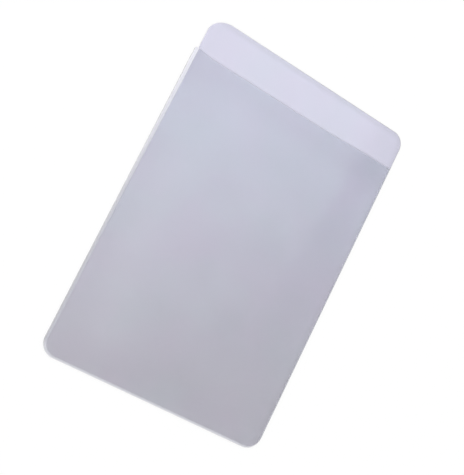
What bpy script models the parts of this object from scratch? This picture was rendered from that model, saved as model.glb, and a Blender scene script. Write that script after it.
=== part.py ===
"""Semi-rigid card holder: a long and a short clear sheet, fused along three edges.

The holder lies on its long back sheet. +X is to the right, +Y points to the lip and +Z is up.
The origin is on the table, under the middle of the whole outline.
All sizes are in metres.
"""

import math

import bmesh
import bpy
from mathutils import Vector

MM = 0.001

# Outline
OVERALL_WIDTH = 84.1 * MM
OVERALL_LENGTH = 123.8 * MM
LIP_LENGTH = 12.75 * MM
CORNER_RADIUS = 5.3 * MM
LIP_RIGHT_CORNER_RADIUS = 4.9 * MM
LIP_LEFT_CORNER_RUN = 7.4 * MM
LIP_LEFT_CORNER_DROP = 5.8 * MM

# Sheets
BACK_THICKNESS = 0.40 * MM
FRONT_THICKNESS = 0.30 * MM
SEAM_CLEARANCE = 0.05 * MM

# Pocket: how far the front sheet stands off the back sheet, and its rims, drawn down to the welds
POCKET_RISE_AT_MOUTH = 1.0 * MM
POCKET_RISE_AT_BASE = 0.4 * MM
SIDE_RIM_WIDTH = 8.0 * MM
BASE_RIM_WIDTH = 12.0 * MM
MOUTH_DIP = 0.7 * MM

# Welds: the sheets' margins, melted into one and rolled over towards their outer wall
LEFT_WELD_WIDTH = 1.0 * MM
RIGHT_WELD_WIDTH = 0.5 * MM
BOTTOM_WELD_WIDTH = 0.8 * MM
WELD_WALL_HEIGHT = 0.30 * MM
WELD_EDGE_RADIUS = 0.10 * MM
WELD_END_RADIUS = 0.60 * MM
WELD_END_MAX_SHARE = 0.6

# Number of steps in each curved stretch
CORNER_STEPS = 8
EDGE_STEPS = 3
ROLL_STEPS = 6
RIM_COLUMNS = 6
MIDDLE_COLUMNS = 4
POCKET_ROWS = 14
ROW_CROWDING = 1.6
SHARP_EDGE_DEGREES = 30

# Finish, with colours as linear red, green and blue
BACK_COLOUR = (0.62, 0.62, 0.74)
FRONT_COLOUR = (0.70, 0.71, 0.76)
WELD_COLOUR = (0.76, 0.76, 0.82)
SHEET_ROUGHNESS = 0.18
WELD_ROUGHNESS = 0.28
CLEARNESS = 0.85
PLASTIC_IOR = 1.54

# Lines and levels that the pieces share
HALF_WIDTH = OVERALL_WIDTH / 2
HALF_LENGTH = OVERALL_LENGTH / 2
INNER_LEFT = -HALF_WIDTH + LEFT_WELD_WIDTH
INNER_RIGHT = HALF_WIDTH - RIGHT_WELD_WIDTH
INNER_RADIUS = CORNER_RADIUS - BOTTOM_WELD_WIDTH
BEND_Y = -HALF_LENGTH + CORNER_RADIUS
MOUTH_Y = HALF_LENGTH - LIP_LENGTH
FRONT_BASE_Z = BACK_THICKNESS + SEAM_CLEARANCE
WELD_INNER_THICKNESS = FRONT_BASE_Z + FRONT_THICKNESS


def ease(share):
    """A smooth step from 0 to 1, level at both ends."""
    share = min(max(share, 0), 1)
    return share * share * (3 - 2 * share)


def mix(low, high, share):
    """The value that lies the given share of the way from low to high."""
    return low + (high - low) * share


def quarter_arc(centre_x, centre_y, run, drop, first_quarter):
    """A quarter of an ellipse, anticlockwise, starting that many quarter turns from +X."""
    points = []
    for step in range(CORNER_STEPS + 1):
        angle = (first_quarter + step / CORNER_STEPS) * math.pi / 2
        points.append(Vector((centre_x + run * math.cos(angle), centre_y + drop * math.sin(angle))))
    return points


def base_corners(left, right, radius):
    """The two rounded corners at the base of an outline, each anticlockwise."""
    left_corner = quarter_arc(left + radius, BEND_Y, radius, radius, 2)
    right_corner = quarter_arc(right - radius, BEND_Y, radius, radius, 3)
    return left_corner, right_corner


def plastic(name, colour, roughness):
    """A clear tinted plastic."""
    material = bpy.data.materials.new(name)
    material.use_nodes = True
    shader = material.node_tree.nodes["Principled BSDF"]
    shader.inputs["Base Color"].default_value = (*colour, 1)
    shader.inputs["Roughness"].default_value = roughness
    shader.inputs["Metallic"].default_value = 0
    shader.inputs["IOR"].default_value = PLASTIC_IOR
    shader.inputs["Transmission Weight"].default_value = CLEARNESS
    return material


def add_piece(name, solid, material, holder, height=0):
    """Turns a finished bmesh into a named object of the holder, raised to its height."""
    bmesh.ops.recalc_face_normals(solid, faces=solid.faces)
    mesh = bpy.data.meshes.new(name)
    solid.to_mesh(mesh)
    solid.free()
    mesh.shade_smooth()
    mesh.set_sharp_from_angle(angle=math.radians(SHARP_EDGE_DEGREES))
    mesh.materials.append(material)
    piece = bpy.data.objects.new(name, mesh)
    piece.parent = holder
    piece.location.z = height
    bpy.context.collection.objects.link(piece)
    return piece


def thicken(surface, thickness):
    """Raises a surface straight up into a sheet with upright edges."""
    raised = bmesh.ops.extrude_face_region(surface, geom=surface.faces[:], use_keep_orig=True)
    corners = [item for item in raised["geom"] if isinstance(item, bmesh.types.BMVert)]
    bmesh.ops.translate(surface, verts=corners, vec=(0, 0, thickness))


def back_outline():
    """The long sheet's outline: its pocket part lies between the welds, and its lip past them."""
    left_corner, right_corner = base_corners(INNER_LEFT, INNER_RIGHT, INNER_RADIUS)
    lip_shoulder = [Vector((INNER_RIGHT, MOUTH_Y)), Vector((HALF_WIDTH, MOUTH_Y))]
    lip_right = quarter_arc(HALF_WIDTH - LIP_RIGHT_CORNER_RADIUS, HALF_LENGTH - LIP_RIGHT_CORNER_RADIUS,
                            LIP_RIGHT_CORNER_RADIUS, LIP_RIGHT_CORNER_RADIUS, 0)
    lip_left = quarter_arc(INNER_LEFT + LIP_LEFT_CORNER_RUN, HALF_LENGTH - LIP_LEFT_CORNER_DROP,
                           LIP_LEFT_CORNER_RUN, LIP_LEFT_CORNER_DROP, 1)
    return left_corner + right_corner + lip_shoulder + lip_right + lip_left


def make_back_sheet(material, holder):
    """The long flat sheet, which carries the lip."""
    sheet = bmesh.new()
    sheet.faces.new([sheet.verts.new((point.x, point.y, 0)) for point in back_outline()])
    thicken(sheet, BACK_THICKNESS)
    return add_piece("back_sheet", sheet, material, holder)


def column_shares():
    """Where the front sheet's columns stand across its width, closer together on its side rims."""
    rim_share = SIDE_RIM_WIDTH / (INNER_RIGHT - INNER_LEFT)
    left_rim = [rim_share * step / RIM_COLUMNS for step in range(RIM_COLUMNS)]
    middle = [mix(rim_share, 1 - rim_share, step / MIDDLE_COLUMNS) for step in range(MIDDLE_COLUMNS + 1)]
    return left_rim + middle + [1 - share for share in reversed(left_rim)]


def side_level(x, left, right):
    """0 at the two ends of a row of the front sheet, and 1 between its side rims."""
    return ease((x - left) / SIDE_RIM_WIDTH) * ease((right - x) / SIDE_RIM_WIDTH)


def front_rows():
    """The front sheet's points in plan, row by row from its base to its mouth."""
    left_corner, right_corner = base_corners(INNER_LEFT, INNER_RIGHT, INNER_RADIUS)
    ends = list(zip(reversed(left_corner), right_corner))
    rows = [[left.lerp(right, share) for share in column_shares()] for left, right in ends]
    bend_row = rows[-1]
    mouth_dips = [MOUTH_DIP * side_level(point.x, INNER_LEFT, INNER_RIGHT) for point in bend_row]
    mouth_row = [Vector((point.x, MOUTH_Y - dip)) for point, dip in zip(bend_row, mouth_dips)]
    for step in range(1, POCKET_ROWS + 1):
        climb_share = (step / POCKET_ROWS) ** ROW_CROWDING
        rows.append([low.lerp(high, climb_share) for low, high in zip(bend_row, mouth_row)])
    return rows


def pocket_rise(point, left, right):
    """How far the front sheet stands above its edges at a point of a row from left to right."""
    height = point.y - (BEND_Y - INNER_RADIUS)
    full_height = MOUTH_Y - (BEND_Y - INNER_RADIUS)
    crown = mix(POCKET_RISE_AT_BASE, POCKET_RISE_AT_MOUTH, height / full_height)
    return crown * side_level(point.x, left, right) * ease(height / BASE_RIM_WIDTH)


def make_front_sheet(material, holder):
    """The short sheet, which stands off the back sheet and is drawn down to the welds."""
    sheet = bmesh.new()
    grid = []
    for row in front_rows():
        rises = [pocket_rise(point, row[0].x, row[-1].x) for point in row]
        grid.append([sheet.verts.new((point.x, point.y, rise)) for point, rise in zip(row, rises)])
    for lower, upper in zip(grid, grid[1:]):
        for column in range(len(lower) - 1):
            sheet.faces.new((lower[column], lower[column + 1], upper[column + 1], upper[column]))
    thicken(sheet, FRONT_THICKNESS)
    bmesh.ops.triangulate(sheet, faces=sheet.faces)
    return add_piece("front_sheet", sheet, material, holder, FRONT_BASE_Z)


def weld_section(width):
    """A weld's outline across its width, from below to above, as (distance in from its wall, height)."""
    roll = WELD_INNER_THICKNESS - WELD_WALL_HEIGHT
    section = [(width, 0)]
    for step in range(EDGE_STEPS + 1):
        angle = step / EDGE_STEPS * math.pi / 2
        section.append((WELD_EDGE_RADIUS * (1 - math.sin(angle)), WELD_EDGE_RADIUS * (1 - math.cos(angle))))
    for step in range(ROLL_STEPS + 1):
        angle = step / ROLL_STEPS * math.pi / 2
        section.append((width * (1 - math.cos(angle)), WELD_WALL_HEIGHT + roll * math.sin(angle)))
    return section


def weld_ring(weld, inner, outer):
    """One closed slice through a weld, between its inner line and its outer wall."""
    inward = (inner - outer).normalized()
    ring = []
    for depth, height in weld_section((inner - outer).length):
        place = outer + inward * depth
        ring.append(weld.verts.new((place.x, place.y, height)))
    return ring


def make_weld(name, inner_line, outer_line, material, holder):
    """A weld that runs between two lines of matching points."""
    weld = bmesh.new()
    rings = [weld_ring(weld, inner, outer) for inner, outer in zip(inner_line, outer_line)]
    for ring, following in zip(rings, rings[1:]):
        for corner in range(len(ring)):
            after = (corner + 1) % len(ring)
            weld.faces.new((ring[corner], ring[after], following[after], following[corner]))
    weld.faces.new(rings[0])
    weld.faces.new(rings[-1])
    return add_piece(name, weld, material, holder)


def make_left_weld(material, holder):
    """The wide weld on the left, whose outer corner is rounded off at the mouth."""
    radius = min(WELD_END_RADIUS, LEFT_WELD_WIDTH * WELD_END_MAX_SHARE)
    end_corner = quarter_arc(-HALF_WIDTH + radius, MOUTH_Y - radius, radius, radius, 1)
    outer_line = end_corner + [Vector((-HALF_WIDTH, BEND_Y))]
    inner_line = [Vector((INNER_LEFT, point.y)) for point in outer_line]
    return make_weld("left_weld", inner_line, outer_line, material, holder)


def make_right_weld(material, holder):
    """The narrow weld on the right, which ends flush against the lip's shoulder."""
    outer_line = [Vector((HALF_WIDTH, MOUTH_Y)), Vector((HALF_WIDTH, BEND_Y))]
    inner_line = [Vector((INNER_RIGHT, point.y)) for point in outer_line]
    return make_weld("right_weld", inner_line, outer_line, material, holder)


def make_bottom_weld(material, holder):
    """The weld along the base, which turns both corners and meets the side welds end to end."""
    outer_left, outer_right = base_corners(-HALF_WIDTH, HALF_WIDTH, CORNER_RADIUS)
    inner_left, inner_right = base_corners(INNER_LEFT, INNER_RIGHT, INNER_RADIUS)
    return make_weld("bottom_weld", inner_left + inner_right, outer_left + outer_right, material, holder)


def main():
    """Clears the scene and builds the card holder."""
    for leftover in list(bpy.data.objects):
        bpy.data.objects.remove(leftover)
    holder = bpy.data.objects.new("card_holder", None)
    bpy.context.collection.objects.link(holder)
    make_back_sheet(plastic("back_sheet_clear", BACK_COLOUR, SHEET_ROUGHNESS), holder)
    make_front_sheet(plastic("front_sheet_clear", FRONT_COLOUR, SHEET_ROUGHNESS), holder)
    make_left_weld(plastic("left_weld_fused", WELD_COLOUR, WELD_ROUGHNESS), holder)
    make_right_weld(plastic("right_weld_fused", WELD_COLOUR, WELD_ROUGHNESS), holder)
    make_bottom_weld(plastic("bottom_weld_fused", WELD_COLOUR, WELD_ROUGHNESS), holder)


main()
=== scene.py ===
"""The looks of a semi-rigid card holder, built around its packed construction.

Two clear sheets and the three welds that fuse them are modelled finely here, in metres, in the
frame of the construction: +X to the right, +Y to the lip, +Z up from the table.
"""

from __future__ import annotations

import logging
import math
from abc import ABC, abstractmethod
from dataclasses import dataclass, replace
from enum import Enum, IntEnum
from functools import reduce
from typing import Iterable, Sequence

import bmesh
import bpy
from mathutils import Matrix, Vector, noise

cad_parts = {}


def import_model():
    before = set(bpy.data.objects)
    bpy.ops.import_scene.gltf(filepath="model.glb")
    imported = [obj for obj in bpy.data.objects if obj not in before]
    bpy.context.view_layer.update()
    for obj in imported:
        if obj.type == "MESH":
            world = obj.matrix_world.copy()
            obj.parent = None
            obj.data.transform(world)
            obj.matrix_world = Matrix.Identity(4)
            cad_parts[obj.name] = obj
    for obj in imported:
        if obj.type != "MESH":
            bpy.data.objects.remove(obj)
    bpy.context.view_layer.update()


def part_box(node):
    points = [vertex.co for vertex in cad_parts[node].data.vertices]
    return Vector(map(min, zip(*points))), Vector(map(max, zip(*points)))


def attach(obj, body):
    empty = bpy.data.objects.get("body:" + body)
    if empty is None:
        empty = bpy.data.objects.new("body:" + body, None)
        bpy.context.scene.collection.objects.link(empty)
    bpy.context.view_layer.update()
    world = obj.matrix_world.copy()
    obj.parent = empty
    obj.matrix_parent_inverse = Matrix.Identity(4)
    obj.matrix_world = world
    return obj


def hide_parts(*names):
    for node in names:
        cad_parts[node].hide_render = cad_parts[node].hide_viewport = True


LOG = logging.getLogger("card_holder")

MM = 0.001
QUARTER_TURN = math.pi / 2
SHARP_ANGLE = math.radians(50)
MEAN_GRAIN = 0.5  # what soft noise is on average
OUT_OF_REACH = 2  # how many times as far out a side is put that a finish ignores
MIX_SHARE, MIX_LOW, MIX_HIGH, MIX_RESULT = 0, 6, 7, 2  # the colour sockets of a Mix node
WHITE = (1.0, 1.0, 1.0)

Triple = tuple[float, float, float]
Colour = Triple
Line = list[Vector]
Ring = Sequence[bmesh.types.BMVert]


class Node(Enum):
    """The pieces of the construction."""

    BACK_SHEET = "back_sheet"
    FRONT_SHEET = "front_sheet"
    LEFT_WELD = "left_weld"
    RIGHT_WELD = "right_weld"
    BOTTOM_WELD = "bottom_weld"


class Side(Enum):
    """The sides of the holder's outline."""

    LEFT = "left"
    RIGHT = "right"
    BASE = "base"
    TOP = "top"


class Wear(IntEnum):
    """Which of a sheet's two finishes a face wears."""

    CLEAR_FACE = 0
    CUT_EDGE = 1


class Ray(Enum):
    """The kinds of ray that see the white ground as it is."""

    CAMERA = "Is Camera Ray"
    GLOSSY = "Is Glossy Ray"
    TRANSMISSION = "Is Transmission Ray"


class Slope(Enum):
    """How a step between two values climbs."""

    SMOOTH = "SMOOTHSTEP"
    STRAIGHT = "LINEAR"


def ease(share: float) -> float:
    """A smooth step from 0 to 1, level at both ends."""
    share = min(max(share, 0.0), 1.0)
    return share * share * (3 - 2 * share)


def mix(low: float, high: float, share: float) -> float:
    """The value that lies the given share of the way from low to high."""
    return low + (high - low) * share


def steps(low: float, high: float, count: int) -> list[float]:
    """Evenly spaced values from low to high, both included."""
    return [mix(low, high, step / count) for step in range(count + 1)]


def quarter_arc(centre: Vector, run: float, drop: float, first_quarter: int, count: int) -> Line:
    """A quarter of an ellipse in plan, anticlockwise.

    Args:
        centre: The ellipse's centre.
        run: Its half width along X.
        drop: Its half width along Y.
        first_quarter: How many quarter turns from +X it starts.
        count: The number of steps along it.

    Returns:
        The arc's points, both ends included.
    """
    angles = steps(first_quarter * QUARTER_TURN, (first_quarter + 1) * QUARTER_TURN, count)
    return [centre + Vector((run * math.cos(angle), drop * math.sin(angle))) for angle in angles]


def rounded_edge(radius: float, count: int) -> list[tuple[float, float]]:
    """The rounded edge between an underside and the upright wall above it.

    Args:
        radius: The edge's radius.
        count: The number of steps round it.

    Returns:
        Points from the underside up to the wall, as (distance in from the wall, height).
    """
    return [(radius * (1 - math.sin(turn)), radius * (1 - math.cos(turn)))
            for turn in steps(0.0, QUARTER_TURN, count)]


def inward_directions(outline: Sequence[Vector]) -> Line:
    """The way in from each point of an anticlockwise outline, long enough to keep an even inset.

    Args:
        outline: The outline's points.

    Returns:
        One vector for each point.
    """
    count = len(outline)
    ways = []
    for index, point in enumerate(outline):
        before = (point - outline[index - 1]).normalized()
        after = (outline[(index + 1) % count] - point).normalized()
        bisector = Vector((-(before.y + after.y), before.x + after.x))
        ways.append(bisector * (2 / bisector.length_squared))
    return ways


@dataclass(frozen=True)
class Layout:
    """Lines and levels that the pieces share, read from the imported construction."""

    left: float
    right: float
    base: float
    top: float
    inner_left: float
    inner_right: float
    inner_base: float
    bend: float
    mouth: float
    back_top: float
    front_underside: float
    weld_top: float
    front_top: float
    seam_spread: float = 0.36 * MM
    seam_spread_run: float = 75 * MM
    seam_gap: float = 0.01 * MM

    @classmethod
    def from_frame(cls) -> Layout:
        """Reads the lines and levels off the nodes' boxes.

        Returns:
            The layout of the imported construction.
        """
        left_low, left_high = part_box(Node.LEFT_WELD.value)
        right_low, right_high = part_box(Node.RIGHT_WELD.value)
        base_low, base_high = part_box(Node.BOTTOM_WELD.value)
        back_low, back_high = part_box(Node.BACK_SHEET.value)
        front_low, front_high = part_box(Node.FRONT_SHEET.value)
        return cls(
            left=left_low.x, right=right_high.x, base=base_low.y, top=back_high.y,
            inner_left=left_high.x, inner_right=right_low.x, inner_base=back_low.y,
            bend=base_high.y, mouth=left_high.y,
            back_top=back_high.z, front_underside=front_low.z,
            weld_top=left_high.z, front_top=front_high.z,
        )

    @property
    def corner_radius(self) -> float:
        """The radius of the outline's corners."""
        return self.bend - self.base

    @property
    def inner_radius(self) -> float:
        """The radius of the sheets' base corners, inside the weld."""
        return self.bend - self.inner_base

    @property
    def front_thickness(self) -> float:
        """The front sheet's thickness, whose edges end flush with the welds."""
        return self.weld_top - self.front_underside

    def left_seam(self, y: float) -> float:
        """Where the left weld meets the sheets, a little further in towards the mouth."""
        climb = ease((y - self.mouth) / self.seam_spread_run + 1)
        return self.inner_left + self.seam_spread * climb

    def sheet_base(self, count: int) -> tuple[Line, Line]:
        """The sheets' two base corners, in that many steps each, a hair clear of the weld."""
        left, right = self.inner_left + self.seam_gap, self.inner_right - self.seam_gap
        return self.base_corners(left, right, self.inner_radius - self.seam_gap, count)

    def base_corners(self, left: float, right: float, radius: float,
                     count: int) -> tuple[Line, Line]:
        """The two rounded base corners of an outline, each anticlockwise.

        Args:
            left: The outline's left side.
            right: Its right side.
            radius: Its corner radius.
            count: The number of steps in each corner.

        Returns:
            The left and the right corner's points.
        """
        left_corner = quarter_arc(Vector((left + radius, self.bend)), radius, radius, 2, count)
        right_corner = quarter_arc(Vector((right - radius, self.bend)), radius, radius, 3, count)
        return left_corner, right_corner

    def outline(self, *sides: Side) -> Outline:
        """The holder's outline as a finish follows it.

        Args:
            sides: The sides that count. The others are put out of the holder's reach.

        Returns:
            The outline.
        """
        places = zip(Side, (self.left, self.right, self.base, self.top))
        reached = [place if side in sides else OUT_OF_REACH * place for side, place in places]
        return Outline(*reached, self.corner_radius)


class Value:
    """A shader node's output socket, which takes part in Python expressions."""

    def __init__(self, graph: Graph, node: bpy.types.Node, output: int | str) -> None:
        """Keeps the graph, its node and which of the node's outputs is meant."""
        self.graph = graph
        self.node, self.output = node, output

    @property
    def socket(self) -> bpy.types.NodeSocket:
        """The socket itself."""
        return self.node.outputs[self.output]

    def maths(self, operation: str, *others: Value | float) -> Value:
        """Adds one Math node whose first input is this value."""
        inputs = dict(enumerate((self, *others)))
        return self.graph.node("ShaderNodeMath", {"operation": operation}, inputs)

    def __add__(self, other: Value | float) -> Value:
        """This value plus another."""
        return self.maths("ADD", other)

    def __radd__(self, other: float) -> Value:
        """A number plus this value."""
        return self.maths("ADD", other)

    def __sub__(self, other: Value | float) -> Value:
        """This value minus another."""
        return self.maths("SUBTRACT", other)

    def __rsub__(self, other: float) -> Value:
        """A number minus this value."""
        return self.graph.node("ShaderNodeMath", {"operation": "SUBTRACT"}, {0: other, 1: self})

    def __mul__(self, other: Value | float) -> Value:
        """This value times another."""
        return self.maths("MULTIPLY", other)

    def __rmul__(self, other: float) -> Value:
        """A number times this value."""
        return self.maths("MULTIPLY", other)

    def __abs__(self) -> Value:
        """This value without its sign."""
        return self.maths("ABSOLUTE")

    def __pow__(self, power: float) -> Value:
        """This value to a power."""
        return self.maths("POWER", power)

    def larger(self, other: Value | float) -> Value:
        """The larger of this value and another."""
        return self.maths("MAXIMUM", other)

    def smaller(self, other: Value | float) -> Value:
        """The smaller of this value and another."""
        return self.maths("MINIMUM", other)

    def step(self, low: float, high: float, way: Slope = Slope.SMOOTH) -> Value:
        """A step from 0 at low to 1 at high, where low may be the larger.

        Args:
            low: The value at which the step starts.
            high: The value at which it ends.
            way: How it climbs.

        Returns:
            The share of the step that is climbed.
        """
        return self.graph.node(
            "ShaderNodeMapRange", {"interpolation_type": way.value},
            {"Value": self, "From Min": low, "From Max": high},
        )


class Graph:
    """Builds the nodes of one material or world."""

    def __init__(self, owner: bpy.types.Material | bpy.types.World) -> None:
        """Empties the owner's node tree and keeps it.

        Args:
            owner: The material or world that is built.
        """
        owner.use_nodes = True
        self.tree = owner.node_tree
        self.tree.nodes.clear()

    def node(self, kind: str, settings: dict | None = None, inputs: dict | None = None,
             output: int | str = 0) -> Value:
        """Adds a node of any kind.

        Args:
            kind: The node's Blender type.
            settings: Its own settings, which are made first.
            inputs: A value, a vector or a link for each named or numbered socket.
            output: The socket that is handed back.

        Returns:
            The chosen output as a value.
        """
        made = self.tree.nodes.new(kind)
        for name, setting in (settings or {}).items():
            setattr(made, name, setting)
        for name, given in (inputs or {}).items():
            if isinstance(given, Value):
                self.tree.links.new(given.socket, made.inputs[name])
            else:
                made.inputs[name].default_value = given
        return Value(self, made, output)

    def place(self) -> Value:
        """Where the shaded point lies on the object, in metres."""
        return self.node("ShaderNodeTexCoord", output="Object")

    def axis(self, place: Value, name: str) -> Value:
        """One coordinate, X, Y or Z, of a place."""
        return self.node("ShaderNodeSeparateXYZ", inputs={0: place}, output=name)

    def vector_maths(self, operation: str, inputs: dict, output: int | str = 0) -> Value:
        """Adds one Vector Math node."""
        return self.node("ShaderNodeVectorMath", {"operation": operation}, inputs, output)

    def dot(self, place: Value, way: Triple) -> Value:
        """How far a place lies along a direction."""
        return self.vector_maths("DOT_PRODUCT", {0: place, 1: way}, "Value")

    def moved(self, place: Value, by: Triple) -> Value:
        """A place moved by a vector in metres."""
        return self.vector_maths("ADD", {0: place, 1: by})

    def product(self, first: Value, second: Value | Triple) -> Value:
        """Two colours or places multiplied channel by channel."""
        return self.vector_maths("MULTIPLY", {0: first, 1: second})

    def drawn_out(self, place: Value, share: float) -> Value:
        """A place whose Y counts only by a share, so that grain on it is drawn out along Y."""
        return self.product(place, (1.0, share, 1.0))

    def turned(self, place: Value, degrees: float) -> Value:
        """A place turned about Z."""
        return self.node(
            "ShaderNodeVectorRotate", {"rotation_type": "Z_AXIS"},
            {"Vector": place, "Angle": math.radians(degrees)},
        )

    def grain(self, place: Value, size: float, detail: float = 2.0) -> Value:
        """Soft noise from 0 to 1 whose features have about the given size."""
        inputs = {"Vector": place, "Scale": 1 / size, "Detail": detail}
        return self.node("ShaderNodeTexNoise", inputs=inputs)

    def blend(self, low: Colour | Value, high: Colour | Value, share: Value) -> Value:
        """A colour between two others.

        Args:
            low: The colour at a share of 0.
            high: The colour at a share of 1.
            share: How far it lies from the one to the other.

        Returns:
            The blended colour.
        """
        low, high = (end if isinstance(end, Value) else (*end, 1) for end in (low, high))
        settings = {"data_type": "RGBA", "clamp_factor": True}
        inputs = {MIX_SHARE: share, MIX_LOW: low, MIX_HIGH: high}
        return self.node("ShaderNodeMix", settings, inputs, MIX_RESULT)

    def shade(self, colour: Value, factor: Value) -> Value:
        """A colour multiplied by a varying factor."""
        return self.vector_maths("SCALE", {0: colour, "Scale": factor})

    def bump(self, height: Value, depth: float) -> Value:
        """A normal from a height of 0 to 1, of which 1 stands for a depth in metres."""
        inputs = {"Strength": 1.0, "Distance": depth, "Height": height}
        return self.node("ShaderNodeBump", inputs=inputs)

    def sees_ground(self) -> Value:
        """1 for the rays that see the white ground as it is, and 0 for the others."""
        kinds = [self.node("ShaderNodeLightPath", output=ray.value) for ray in Ray]
        return reduce(Value.larger, kinds)

    def finish(self, kind: str, surface: Value) -> None:
        """Connects the surface to an output node of that kind."""
        self.node(kind, inputs={"Surface": surface})


@dataclass(frozen=True)
class Outline:
    """A rounded rectangle in plan, from which a finish tells how near an edge is."""

    left: float
    right: float
    base: float
    top: float
    radius: float

    def depth(self, graph: Graph, place: Value) -> Value:
        """How far in from the rectangle's edge a point lies.

        Args:
            graph: The graph that it is added to.
            place: The shaded point.

        Returns:
            The distance in metres, 0 on the edge.
        """
        beyond = []
        for axis, low, high in (("X", self.left, self.right), ("Y", self.base, self.top)):
            from_middle = abs(graph.axis(place, axis) - (low + high) / 2)
            beyond.append(from_middle - ((high - low) / 2 - self.radius))
        in_corner = (beyond[0].larger(0) ** 2 + beyond[1].larger(0) ** 2) ** 0.5
        return self.radius - in_corner - beyond[0].larger(beyond[1]).smaller(0)


@dataclass(frozen=True)
class Margin:
    """A strip of painted shade along an outline, where the colour is darkened to stand in for
    shade.

    It is strongest up to its full depth and gone at its width. With a fade it also grows along Y,
    from nothing at the first place to its whole tone at the second.
    """

    outline: Outline
    tone: float
    width: float
    full: float
    fade: tuple[float, float] | None = None

    def shade(self, graph: Graph, place: Value) -> Value:
        """How much the painted shade darkens a point for lying in the strip.

        Args:
            graph: The graph that it is added to.
            place: The shaded point.

        Returns:
            0 outside the strip and its tone next to the outline.
        """
        share = self.outline.depth(graph, place).step(self.width, self.full)
        if self.fade:
            share = share * graph.axis(place, "Y").step(*self.fade)
        return self.tone * share


@dataclass(frozen=True)
class Surface:
    """What changes over a finish, whose colour is its tint times its tone."""

    tint: Value
    tone: Value
    roughness: Value
    normal: Value


@dataclass(frozen=True, kw_only=True)
class Plastic(ABC):
    """Plastic that light passes through, with painted shade darkening strips along its edges."""

    clearness: float = 0.93
    roughness: float = 0.15
    ior: float = 1.54
    painted_shades: tuple[Margin, ...] = ()

    @abstractmethod
    def surface(self, graph: Graph, place: Value) -> Surface:
        """Works out what changes over the finish.

        Args:
            graph: The graph that it is added to.
            place: The shaded point.

        Returns:
            The finish at that point, before its painted shade.
        """

    def material(self, name: str) -> bpy.types.Material:
        """Builds the finish as a material.

        Args:
            name: The material's name.

        Returns:
            The material.
        """
        made = bpy.data.materials.new(name)
        graph = Graph(made)
        place = graph.place()
        surface = self.surface(graph, place)
        tone = surface.tone
        # Each strip of painted shade darkens the colour, standing in for shade.
        for shade_strip in self.painted_shades:
            tone = tone - shade_strip.shade(graph, place)
        shader = graph.node("ShaderNodeBsdfPrincipled", inputs={
            "Base Color": graph.shade(surface.tint, tone),
            "Roughness": surface.roughness,
            "Normal": surface.normal,
            "IOR": self.ior,
            "Transmission Weight": self.clearness,
        })
        graph.finish("ShaderNodeOutputMaterial", shader)
        return made


@dataclass(frozen=True, kw_only=True)
class ClearPlastic(Plastic):
    """A calendered clear sheet, with a faint haze, draw lines, handling marks and painted light."""

    tint: Colour
    lit_far_tint: Colour
    seed: float = 0.0
    painted_light_way: Triple = (-0.25, 0.97, 0.0)
    painted_light_reach: float = 50 * MM
    cloud_size: float = 16 * MM
    cloud_tone: float = 0.05
    cloud_roughness: float = 0.04
    bloom_size: float = 24 * MM
    bloom_shift: Triple = (0.5, 0.0, 0.0)
    bloom_range: tuple[float, float] = (0.3, 0.7)
    bloom_ends: tuple[Colour, Colour] = ((0.99, 1.008, 1.0), (1.008, 0.992, 1.004))
    wave_size: float = 26 * MM
    wave_depth: float = 0.25 * MM
    line_size: float = 1.1 * MM
    line_stretch: float = 0.02
    line_depth: float = 0.0006 * MM
    scuff_size: float = 0.5 * MM
    scuff_stretch: float = 0.02
    scuff_turns: tuple[float, ...] = (24.0, -57.0)
    scuff_range: tuple[float, float] = (0.76, 0.86)
    scuff_roughness: float = 0.05

    def surface(self, graph: Graph, place: Value) -> Surface:
        """Works out the haze, the painted light in the tint, the draw lines, the waves and the
        scuffs.

        Args:
            graph: The graph that it is added to.
            place: The shaded point.

        Returns:
            The finish at that point, before its painted shade.
        """
        own = graph.moved(place, (self.seed, self.seed, 0.0))
        cloud = graph.grain(own, self.cloud_size)
        lines = graph.grain(graph.drawn_out(own, self.line_stretch), self.line_size)
        waves = graph.grain(own, self.wave_size, detail=1.0)
        reach = self.painted_light_reach
        # Painted light: the tint turns lighter and bluer towards the mouth and the left.
        drift = graph.dot(place, self.painted_light_way).step(-reach, reach, Slope.STRAIGHT)
        painted_light_tint = graph.blend(self.tint, self.lit_far_tint, drift)
        shifted = graph.moved(own, self.bloom_shift)
        bloom = graph.grain(shifted, self.bloom_size).step(*self.bloom_range)
        haze = self.roughness + self.cloud_roughness * cloud
        return Surface(
            tint=graph.product(painted_light_tint, graph.blend(*self.bloom_ends, bloom)),
            tone=1 + self.cloud_tone * (cloud - MEAN_GRAIN),
            roughness=haze + self.scuff_roughness * self.scuffs(graph, own),
            normal=graph.bump(waves * (self.wave_depth / self.line_depth) + lines, self.line_depth),
        )

    def scuffs(self, graph: Graph, place: Value) -> Value:
        """Sparse hairline marks in two directions.

        Args:
            graph: The graph that they are added to.
            place: The shaded point.

        Returns:
            1 on a mark and 0 between them.
        """
        marks = []
        for turn in self.scuff_turns:
            drawn = graph.drawn_out(graph.turned(place, turn), self.scuff_stretch)
            marks.append(graph.grain(drawn, self.scuff_size, detail=0.0).step(*self.scuff_range))
        return reduce(Value.larger, marks)


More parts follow.
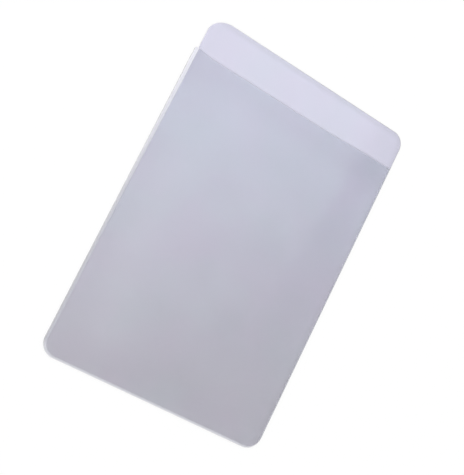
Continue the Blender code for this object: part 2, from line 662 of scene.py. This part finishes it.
@dataclass(frozen=True, kw_only=True)
class CutEdge(Plastic):
    """The cut edge of a sheet, rougher than its faces, with a painted highlight left and painted
    shade right.
    """

    left_tint: Colour
    right_tint: Colour
    clearness: float = 0.85
    roughness: float = 0.35
    highlight_to_shade_from: float = -42 * MM
    highlight_to_shade_to: float = 10 * MM
    least_tone: float = 0.94
    tooth_tone: float = 0.12
    tooth_roughness: float = 0.2
    tooth_size: float = 0.12 * MM
    tooth_depth: float = 0.004 * MM

    def surface(self, graph: Graph, place: Value) -> Surface:
        """Works out the painted highlight and shade in the tint and the cutter's fine tooth.

        Args:
            graph: The graph that it is added to.
            place: The shaded point.

        Returns:
            The finish at that point, before its painted shade.
        """
        tooth = graph.grain(place, self.tooth_size)
        # Painted light: the left tint stands for a highlight and the right tint for shade.
        highlight_to_shade = graph.axis(place, "X").step(self.highlight_to_shade_from, self.highlight_to_shade_to, Slope.STRAIGHT)
        return Surface(
            tint=graph.blend(self.left_tint, self.right_tint, highlight_to_shade),
            tone=self.least_tone + self.tooth_tone * tooth,
            roughness=self.roughness + self.tooth_roughness * tooth,
            normal=graph.bump(tooth, self.tooth_depth),
        )


@dataclass(frozen=True, kw_only=True)
class FusedPlastic(Plastic):
    """A weld: both sheets melted into one, clearer where it was pressed hardest."""

    outline: Outline
    pressed_end: float
    thick_end: float
    pressed_tint: Colour
    thick_tint: Colour = (0.65, 0.65, 0.72)
    rim_tint: Colour = WHITE
    rim_width: float = 0.45 * MM
    roughness: float = 0.20
    least_tone: float = 0.98
    ripple_tone: float = 0.04
    ripple_roughness: float = 0.08
    ripple_size: float = 0.8 * MM
    ripple_depth: float = 0.006 * MM

    def surface(self, graph: Graph, place: Value) -> Surface:
        """Works out the tint along the weld, its clear rim and its ripple.

        Args:
            graph: The graph that it is added to.
            place: The shaded point.

        Returns:
            The finish at that point, before its painted shade.
        """
        ripple = graph.grain(place, self.ripple_size)
        pressed = graph.axis(place, "Y").step(self.thick_end, self.pressed_end, Slope.STRAIGHT)
        rim = self.outline.depth(graph, place).step(self.rim_width, 0)
        along = graph.blend(self.thick_tint, self.pressed_tint, pressed)
        return Surface(
            tint=graph.blend(along, self.rim_tint, rim),
            tone=self.least_tone + self.ripple_tone * ripple,
            roughness=self.roughness + self.ripple_roughness * ripple,
            normal=graph.bump(ripple, self.ripple_depth),
        )


def add_object(name: str, data: bpy.types.ID) -> bpy.types.Object:
    """Puts a new object with the given data into the scene.

    Args:
        name: The object's name.
        data: Its mesh, camera or light.

    Returns:
        The object.
    """
    made = bpy.data.objects.new(name, data)
    bpy.context.scene.collection.objects.link(made)
    return made


class Skin:
    """A mesh in the making, whose points come in rows."""

    def __init__(self) -> None:
        """Starts an empty mesh."""
        self.mesh = bmesh.new()

    def row(self, points: Iterable[Sequence[float]]) -> list[bmesh.types.BMVert]:
        """Adds one row of points."""
        return [self.mesh.verts.new(point) for point in points]

    def cap(self, ring: Ring, wear: Wear = Wear.CLEAR_FACE) -> None:
        """Closes a ring of points with one face."""
        self.mesh.faces.new(ring).material_index = wear

    def strip(self, first: Ring, second: Ring, closed: bool = False,
              wear: Wear = Wear.CLEAR_FACE) -> None:
        """Joins two rows of equal length with four-sided faces.

        Args:
            first: One row.
            second: The next row.
            closed: Whether the rows run round and meet themselves.
            wear: The finish that the faces wear.
        """
        count = len(first)
        for corner in range(count if closed else count - 1):
            after = (corner + 1) % count
            self.cap((first[corner], first[after], second[after], second[corner]), wear)

    def body(self, rings: Sequence[Ring]) -> None:
        """Joins each ring to the next and closes the first and the last.

        Args:
            rings: Rows of equal length that run round and meet themselves.
        """
        for ring, following in zip(rings, rings[1:]):
            self.strip(ring, following, closed=True)
        self.cap(rings[0])
        self.cap(rings[-1])

    def piece(self, name: str, node: Node, *finishes: Plastic) -> bpy.types.Object:
        """Turns the mesh into a finished piece that stands for its node.

        Args:
            name: The piece's name.
            node: The node of the construction that it stands for.
            finishes: The finishes that it wears, by number.

        Returns:
            The piece, riding on the holder.
        """
        bmesh.ops.recalc_face_normals(self.mesh, faces=self.mesh.faces)
        mesh = bpy.data.meshes.new(name)
        self.mesh.to_mesh(mesh)
        self.mesh.free()
        mesh.shade_smooth()
        mesh.set_sharp_from_angle(angle=SHARP_ANGLE)
        for finish in finishes:
            mesh.materials.append(finish.material(f"{name}_{type(finish).__name__.lower()}"))
        made = add_object(name, mesh)
        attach(made, "root")
        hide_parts(node.value)
        return made


@dataclass
class BackSheet:
    """The long flat sheet, whose lip stands past the mouth."""

    layout: Layout
    left_corner_run: float = 7.4 * MM
    left_corner_drop: float = 5.8 * MM
    right_corner_radius: float = 4.9 * MM
    lip_inset: float = 0.05 * MM
    free_edge_radius: float = 0.15 * MM
    fused_edge_radius: float = 0.01 * MM
    edge_support: float = 0.05 * MM
    level_normal: float = 0.99
    corner_steps: int = 24
    seam_steps: int = 60
    edge_steps: int = 4

    def finishes(self) -> tuple[ClearPlastic, CutEdge]:
        """The clear faces, with painted light and painted shade, and the cut edge.

        Returns:
            Both finishes, in the order of Wear.
        """
        at = self.layout
        # Painted shade: darker along the lip's rim and towards its right.
        lip_rim_shade = Margin(at.outline(Side.RIGHT, Side.TOP), tone=0.07, width=2.6 * MM, full=0.6 * MM)
        lip_right_shade = Margin(
            at.outline(Side.RIGHT), tone=0.035, width=18 * MM, full=6 * MM,
            fade=(at.mouth - 12 * MM, at.mouth),
        )
        faces = ClearPlastic(
            tint=(0.708, 0.706, 0.792), lit_far_tint=(0.744, 0.742, 0.876),
            painted_shades=(lip_rim_shade, lip_right_shade),
        )
        # The cut edge's light left tint is a painted highlight and its grey right tint is painted
        # shade.
        return faces, CutEdge(left_tint=(0.95, 0.95, 0.98), right_tint=(0.58, 0.58, 0.61))

    def fused_outline(self) -> Line:
        """The part of the outline that the welds hold.

        Returns:
            Points from the left of the mouth round the base to the right of the mouth.
        """
        at = self.layout
        levels = steps(at.mouth, at.bend, self.seam_steps)[:-1]
        side = [Vector((at.left_seam(level) + at.seam_gap, level)) for level in levels]
        left_base, right_base = at.sheet_base(self.corner_steps)
        return side + left_base + right_base + [Vector((right_base[-1].x, at.mouth + at.seam_gap))]

    def free_outline(self) -> Line:
        """The lip's cut outline.

        Returns:
            Points from the right of the mouth round the lip to the left of the mouth.
        """
        at = self.layout
        radius = self.right_corner_radius
        lip_side = at.inner_left + self.lip_inset
        right = quarter_arc(
            Vector((at.right - radius, at.top - radius)), radius, radius, 0, self.corner_steps,
        )
        left = quarter_arc(
            Vector((lip_side + self.left_corner_run, at.top - self.left_corner_drop)),
            self.left_corner_run, self.left_corner_drop, 1, self.corner_steps,
        )
        shoulder_drop = at.left_seam(at.mouth) - lip_side
        shoulder = Vector((at.right, at.mouth + at.seam_gap))
        return [shoulder] + right + left + [Vector((lip_side, at.mouth + shoulder_drop))]

    def section(self, radius: float) -> list[tuple[float, float]]:
        """The sheet's edge from below to above, rounded, as (distance in, height)."""
        half = [(radius + self.edge_support, 0.0), *rounded_edge(radius, self.edge_steps)]
        return half + [(depth, self.layout.back_top - height) for depth, height in reversed(half)]

    def wear(self, face: bpy.types.MeshPolygon) -> Wear:
        """The finish of a face: those that aren't level are cut, where no weld holds them."""
        free = face.center.y > self.layout.mouth + self.free_edge_radius
        return Wear.CUT_EDGE if free and abs(face.normal.z) < self.level_normal else Wear.CLEAR_FACE

    def build(self) -> bpy.types.Object:
        """Builds and dresses the sheet.

        Returns:
            The finished piece.
        """
        skin = Skin()
        fused, free = self.fused_outline(), self.free_outline()
        outline = fused + free
        inward = inward_directions(outline)
        fused_section = self.section(self.fused_edge_radius)
        free_section = self.section(self.free_edge_radius)
        rings = []
        for held, cut in zip(fused_section, free_section):
            levels = [held] * len(fused) + [cut] * len(free)
            rings.append(skin.row(
                (*(point + way * depth), height)
                for point, way, (depth, height) in zip(outline, inward, levels)
            ))
        skin.body(rings)
        made = skin.piece("back_sheet_clear", Node.BACK_SHEET, *self.finishes())
        for face in made.data.polygons:
            face.material_index = self.wear(face)
        return made


@dataclass
class FrontSheet:
    """The short sheet, which stands off the back sheet and is drawn down to the welds."""

    layout: Layout
    rise_at_base: float = 0.4 * MM
    left_rim: float = 8.0 * MM
    right_rim: float = 16.0 * MM
    side_rim_at_base: float = 26.0 * MM
    base_rim: float = 12.0 * MM
    mouth_dip: float = 0.88 * MM
    dip_left_run: float = 6.0 * MM
    dip_right_run: float = 34.0 * MM
    ripple: float = 0.02 * MM
    ripple_length: float = 26 * MM
    columns: int = 90
    rows: int = 110
    corner_rows: int = 24
    nose_steps: int = 8

    def finishes(self) -> tuple[ClearPlastic, CutEdge]:
        """The clear faces, with painted light and painted shade, and the mouth's edge.

        Returns:
            Both finishes, in the order of Wear.
        """
        at = self.layout
        mouth_edge = replace(at.outline(Side.TOP), top=at.mouth)
        # Painted shade: darker under the mouth and towards the left side.
        shade_under_mouth = Margin(mouth_edge, tone=0.05, width=15 * MM, full=4 * MM)
        left_side_shade = Margin(at.outline(Side.LEFT), tone=0.045, width=20 * MM, full=1 * MM)
        faces = ClearPlastic(
            tint=(0.842, 0.827, 0.850), lit_far_tint=(0.868, 0.890, 0.944),
            painted_shades=(shade_under_mouth, left_side_shade), seed=0.3,
        )
        nose_tint = (0.86, 0.86, 0.90)
        return faces, CutEdge(left_tint=nose_tint, right_tint=nose_tint, roughness=0.25)

    def mouth_line(self, columns: Line) -> Line:
        """The mouth's edge, which dips between its ends.

        Args:
            columns: The foot of each column of points.

        Returns:
            The head of each column.
        """
        at = self.layout
        line = []
        for foot in columns:
            from_left = ease((foot.x - at.inner_left) / self.dip_left_run)
            from_right = ease((at.inner_right - foot.x) / self.dip_right_run)
            line.append(Vector((foot.x, at.mouth - self.mouth_dip * from_left * from_right)))
        return line

    def plan(self) -> list[Line]:
        """Lays the sheet out flat.

        Returns:
            Its points in plan, row by row from its base to its mouth.
        """
        at = self.layout
        left, right = at.sheet_base(self.corner_rows)
        shares = steps(0.0, 1.0, self.columns)
        rows = [[low.lerp(high, share) for share in shares]
                for low, high in zip(reversed(left), right)]
        bend_row = rows[-1]
        mouth_row = self.mouth_line(bend_row)
        for climb in steps(0.0, 1.0, self.rows)[1:]:
            row = [low.lerp(high, climb) for low, high in zip(bend_row, mouth_row)]
            spread = at.left_seam(row[0].y) - at.inner_left
            rows.append([point + Vector((spread * (1 - share), 0))
                         for point, share in zip(row, shares)])
        return rows

    def side_level(self, point: Vector, left: float, right: float) -> float:
        """How far up between the side rims a point stands.

        Args:
            point: A point of the sheet in plan.
            left: The left end of its row.
            right: The right end of its row.

        Returns:
            0 at the row's ends and 1 between its rims, which are broader towards the base.
        """
        at = self.layout
        climb = ease((point.y - at.inner_base) / (at.mouth - at.inner_base))
        left_rim = mix(self.side_rim_at_base, self.left_rim, climb)
        right_rim = mix(self.side_rim_at_base, self.right_rim, climb)
        return ease((point.x - left) / left_rim) * ease((right - point.x) / right_rim)

    def rise(self, point: Vector, left: float, right: float) -> float:
        """How far the sheet stands above its edges.

        Args:
            point: A point of the sheet in plan.
            left: The left end of its row.
            right: The right end of its row.

        Returns:
            The rise at that point.
        """
        at = self.layout
        height = point.y - at.inner_base
        rise_at_mouth = at.front_top - at.weld_top - self.ripple
        crown = mix(self.rise_at_base, rise_at_mouth, height / (at.mouth - at.inner_base))
        waves = self.ripple * noise.noise(Vector((point.x, point.y, 0.0)) / self.ripple_length)
        return (crown + waves) * self.side_level(point, left, right) * ease(height / self.base_rim)

    def nose(self, below: Line, above: Line) -> list[Line]:
        """Rounds the mouth's edge.

        Args:
            below: The mouth row of the underside.
            above: The mouth row of the upper side.

        Returns:
            The rows from below to above, which stay behind the mouth line.
        """
        rows = []
        for turn in steps(-QUARTER_TURN, QUARTER_TURN, self.nose_steps):
            row = []
            for low, high in zip(below, above):
                radius = (high.z - low.z) / 2
                row.append(Vector((low.x, low.y - radius * (1 - math.cos(turn)),
                                   low.z + radius * (1 + math.sin(turn)))))
            rows.append(row)
        return rows

    def close_side(self, skin: Skin, ring: Ring) -> None:
        """Closes one side of the sheet, between its underside and its upper side.

        Args:
            skin: The mesh in the making.
            ring: The side's points, up the underside and back down the upper side.
        """
        flat_rows = (len(ring) - self.nose_steps - 1) // 2
        for index in range(flat_rows):
            skin.cap((ring[index], ring[index + 1], ring[-2 - index], ring[-1 - index]))
        skin.cap(ring[flat_rows:len(ring) - flat_rows])

    def build(self) -> bpy.types.Object:
        """Builds and dresses the sheet.

        Returns:
            The finished piece.
        """
        at = self.layout
        skin = Skin()
        below, above = [], []
        for row in self.plan():
            levels = [at.front_underside + self.rise(point, row[0].x, row[-1].x) for point in row]
            below.append([Vector((point.x, point.y, level)) for point, level in zip(row, levels)])
            above.append([Vector((point.x, point.y, level + at.front_thickness))
                          for point, level in zip(row, levels)])
        nose = self.nose(below[-1], above[-1])
        loops = [skin.row(row) for row in (*below[:-1], *nose, *reversed(above[:-1]))]
        nose_start = len(below) - 1
        for index, (lower, upper) in enumerate(zip(loops, loops[1:])):
            on_nose = nose_start <= index < nose_start + self.nose_steps
            skin.strip(lower, upper, wear=Wear.CUT_EDGE if on_nose else Wear.CLEAR_FACE)
        skin.strip(loops[-1], loops[0])
        self.close_side(skin, [loop[0] for loop in loops])
        self.close_side(skin, [loop[-1] for loop in loops])
        return skin.piece("front_sheet_clear", Node.FRONT_SHEET, *self.finishes())


@dataclass
class Weld(ABC):
    """A fused seam, rolled over towards its outer wall."""

    layout: Layout
    node: Node
    wall_height: float = 0.30 * MM
    edge_radius: float = 0.10 * MM
    wall_drift: float = 0.03 * MM
    drift_length: float = 6 * MM
    drift_track: float = 1.0
    # Painted shade: a darker line along the outer wall.
    fold_shade_tone: float = 0.16
    fold_shade_width: float = 0.9 * MM
    fold_shade_full: float = 0.5 * MM
    edge_steps: int = 4
    roll_steps: int = 12
    corner_steps: int = 24
    straight_steps: int = 240

    @abstractmethod
    def lines(self) -> tuple[Line, Line]:
        """The line where the weld meets the sheets and its outer wall, in matching points."""

    @abstractmethod
    def finish(self) -> FusedPlastic:
        """The weld's finish."""

    def fold_shade(self, start: float, end: float) -> Margin:
        """Painted shade: a darker line along the outer wall, which grows from one place along Y to
        another.
        """
        outline = self.layout.outline(*Side)
        return Margin(outline, self.fold_shade_tone, self.fold_shade_width, self.fold_shade_full, (start, end))

    def drift(self, travelled: float) -> float:
        """How far in the outer wall has drifted, that far along the weld."""
        swing = noise.noise(Vector((travelled / self.drift_length, self.drift_track, 0.0)))
        return self.wall_drift / 2 + self.wall_drift / 2 * swing

    def section(self, width: float) -> list[tuple[float, float]]:
        """The weld's outline across its width.

        Args:
            width: The weld's width here.

        Returns:
            Points from below to above, as (distance in from the wall, height).
        """
        roll = self.layout.weld_top - self.wall_height
        high = [(width * (1 - math.cos(turn)), self.wall_height + roll * math.sin(turn))
                for turn in steps(0.0, QUARTER_TURN, self.roll_steps)]
        return [(width, 0.0), *rounded_edge(self.edge_radius, self.edge_steps), *high]

    def build(self) -> bpy.types.Object:
        """Builds and dresses the weld.

        Returns:
            The finished piece.
        """
        skin = Skin()
        inner, outer = self.lines()
        rings = []
        travelled = 0.0
        for index, (near, far) in enumerate(zip(inner, outer)):
            travelled += (far - outer[max(index - 1, 0)]).length
            inward = (near - far).normalized()
            wall = far + inward * self.drift(travelled)
            section = self.section((near - wall).length)
            rings.append(skin.row((*(wall + inward * depth), height) for depth, height in section))
        skin.body(rings)
        return skin.piece(f"{self.node.value}_fused", self.node, self.finish())


@dataclass
class LeftWeld(Weld):
    """The wide weld on the left, rounded off at the mouth."""

    node: Node = Node.LEFT_WELD
    end_radius: float = 0.6 * MM
    thick_below_mouth: float = 52 * MM
    fold_shade_below_mouth: float = 40 * MM
    whole_fold_shade_below_mouth: float = 90 * MM

    def lines(self) -> tuple[Line, Line]:
        """Runs from the rounded end at the mouth down to the base weld.

        Returns:
            The line where the weld meets the sheets, and its outer wall.
        """
        at, radius = self.layout, self.end_radius
        centre = Vector((at.left + radius, at.mouth - radius))
        outer = quarter_arc(centre, radius, radius, 1, self.corner_steps)
        levels = steps(at.mouth - radius, at.bend + at.seam_gap, self.straight_steps)[1:]
        outer += [Vector((at.left, level)) for level in levels]
        return [Vector((at.left_seam(point.y), point.y)) for point in outer], outer

    def finish(self) -> FusedPlastic:
        """The weld's finish, light at the mouth and greyer from there to the base, partly thicker,
        partly painted shade.

        Returns:
            The finish.
        """
        at = self.layout
        fold_shade = self.fold_shade(at.mouth - self.fold_shade_below_mouth, at.mouth - self.whole_fold_shade_below_mouth)
        return FusedPlastic(
            outline=at.outline(*Side), painted_shades=(fold_shade,), pressed_tint=(0.90, 0.90, 0.98),
            pressed_end=at.mouth, thick_end=at.mouth - self.thick_below_mouth,
        )


@dataclass
class RightWeld(Weld):
    """The narrow weld on the right, which ends against the lip's shoulder."""

    node: Node = Node.RIGHT_WELD

    def lines(self) -> tuple[Line, Line]:
        """Runs straight down from the mouth to the base weld.

        Returns:
            The line where the weld meets the sheets, and its outer wall.
        """
        at = self.layout
        levels = steps(at.mouth, at.bend + at.seam_gap, self.straight_steps)
        inner = [Vector((at.inner_right, level)) for level in levels]
        return inner, [Vector((at.right, level)) for level in levels]

    def finish(self) -> FusedPlastic:
        """The weld's finish, the same grey all along and up to its rim.

        Returns:
            The finish.
        """
        at, grey = self.layout, (0.60, 0.61, 0.655)
        return FusedPlastic(
            outline=at.outline(*Side), pressed_tint=grey, thick_tint=grey, rim_tint=grey,
            pressed_end=at.mouth, thick_end=at.base,
        )


@dataclass
class BottomWeld(Weld):
    """The weld along the base, which turns both corners."""

    node: Node = Node.BOTTOM_WELD
    turn_above_base: float = 1.5 * MM
    turned_below_bend: float = 0.5 * MM

    def lines(self) -> tuple[Line, Line]:
        """Runs round the left corner, along the base and round the right corner.

        Returns:
            The line where the weld meets the sheets, and its outer wall.
        """
        at = self.layout
        inner = self.line(at.inner_left, at.inner_right, at.inner_radius)
        return inner, self.line(at.left, at.right, at.corner_radius)

    def line(self, left: float, right: float, radius: float) -> Line:
        """One corner, the straight base and the other corner of an outline.

        Args:
            left: The outline's left side.
            right: Its right side.
            radius: Its corner radius.

        Returns:
            The line's points, from left to right.
        """
        first, last = self.layout.base_corners(left, right, radius, self.corner_steps)
        shares = steps(0.0, 1.0, self.straight_steps)[1:-1]
        return first + [first[-1].lerp(last[0], share) for share in shares] + last

    def finish(self) -> FusedPlastic:
        """The weld's finish, greyer in both corners to meet the side welds, partly thicker, partly
        painted shade.

        Returns:
            The finish.
        """
        at = self.layout
        start, end = at.base + self.turn_above_base, at.bend - self.turned_below_bend
        return FusedPlastic(
            outline=at.outline(*Side), painted_shades=(self.fold_shade(start, end),),
            pressed_tint=(0.72, 0.72, 0.78), pressed_end=start, thick_end=end,
        )


@dataclass(frozen=True)
class Studio:
    """A plain white table, soft light and the camera at the photograph's angle."""

    camera_place: Triple = (-112.06 * MM, -40.28 * MM, 297.11 * MM)
    camera_aim: Triple = (-0.71 * MM, -0.38 * MM, 0.5 * MM)
    camera_turn: float = 28.42
    lens: float = 71.78
    table_size: float = 8.0
    table_gap: float = 0.05 * MM
    table_colour: Colour = (0.95, 0.95, 0.95)
    ground_share: float = 0.85
    ceiling_bright: float = 1.44
    ceiling_dim: float = 0.16
    ceiling_range: tuple[float, float] = (0.5, 0.8)
    dim_side: Triple = (0.771, -0.636, 0.0)
    dim_range: tuple[float, float] = (0.05, 0.34)
    lamp_place: Triple = (-0.45, 0.35, 0.8)
    lamp_size: float = 0.6
    lamp_power: float = 1.0

    def camera(self) -> None:
        """Places the camera as the photograph was taken."""
        data = bpy.data.cameras.new("camera")
        data.lens = self.lens
        data.clip_start = MM
        made = add_object("camera", data)
        look = (Vector(self.camera_aim) - Vector(self.camera_place)).normalized()
        turn = math.radians(self.camera_turn)
        right = look.cross(Vector((-math.sin(turn), math.cos(turn), 0.0))).normalized()
        up = right.cross(look)
        made.location = self.camera_place
        made.rotation_mode = "QUATERNION"
        made.rotation_quaternion = Matrix((right, up, -look)).transposed().to_quaternion()
        bpy.context.scene.camera = made

    def table(self) -> None:
        """Lays the white table, which keeps a soft shadow."""
        half, level = self.table_size / 2, -self.table_gap
        mesh = bpy.data.meshes.new("table")
        points = [(-half, -half, level), (half, -half, level),
                  (half, half, level), (-half, half, level)]
        mesh.from_pydata(points, [], [range(len(points))])
        made = add_object("table", mesh)
        material = bpy.data.materials.new("white_table")
        graph = Graph(material)
        lit = graph.node("ShaderNodeBsdfDiffuse", inputs={"Color": (*self.table_colour, 1)})
        white = graph.node("ShaderNodeEmission", inputs={"Strength": 1.0})
        share = self.ground_share * graph.sees_ground()
        surface = graph.node("ShaderNodeMixShader", inputs={"Fac": share, 1: lit, 2: white})
        graph.finish("ShaderNodeOutputMaterial", surface)
        mesh.materials.append(material)

    def room(self) -> None:
        """Lights the white room, whose ceiling is brighter on one side than on the other."""
        world = bpy.data.worlds.new("room")
        bpy.context.scene.world = world
        graph = Graph(world)
        way = graph.node("ShaderNodeTexCoord", output="Generated")
        ceiling = graph.axis(way, "Z").step(*self.ceiling_range)
        dimness = graph.dot(way, self.dim_side).step(*self.dim_range)
        change = self.ceiling_bright - 1 + (self.ceiling_dim - self.ceiling_bright) * dimness
        seen = graph.node("ShaderNodeLightPath", output=Ray.CAMERA.value)
        surface = graph.node("ShaderNodeBackground", inputs={
            "Color": (*WHITE, 1), "Strength": 1 + (1 - seen) * ceiling * change,
        })
        graph.finish("ShaderNodeOutputWorld", surface)

    def lamp(self) -> None:
        """Adds one soft lamp, which gives the edges their shadow."""
        data = bpy.data.lights.new("soft_lamp", "AREA")
        data.size = self.lamp_size
        data.energy = self.lamp_power
        made = add_object("soft_lamp", data)
        made.location = self.lamp_place
        made.rotation_mode = "QUATERNION"
        made.rotation_quaternion = (-Vector(self.lamp_place)).to_track_quat("-Z", "Y")

    def build(self) -> None:
        """Sets up everything round the holder."""
        bpy.context.scene.view_settings.view_transform = "Standard"
        self.camera()
        self.table()
        self.room()
        self.lamp()


def main() -> None:
    """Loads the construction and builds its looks."""
    logging.basicConfig(level=logging.INFO, format="%(name)s %(message)s")
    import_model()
    Studio().build()
    layout = Layout.from_frame()
    builders = (
        BackSheet(layout), FrontSheet(layout),
        LeftWeld(layout), RightWeld(layout), BottomWeld(layout),
    )
    for builder in builders:
        made = builder.build()
        LOG.info("%s: %d faces", made.name, len(made.data.polygons))


if __name__ == "__main__":
    main()
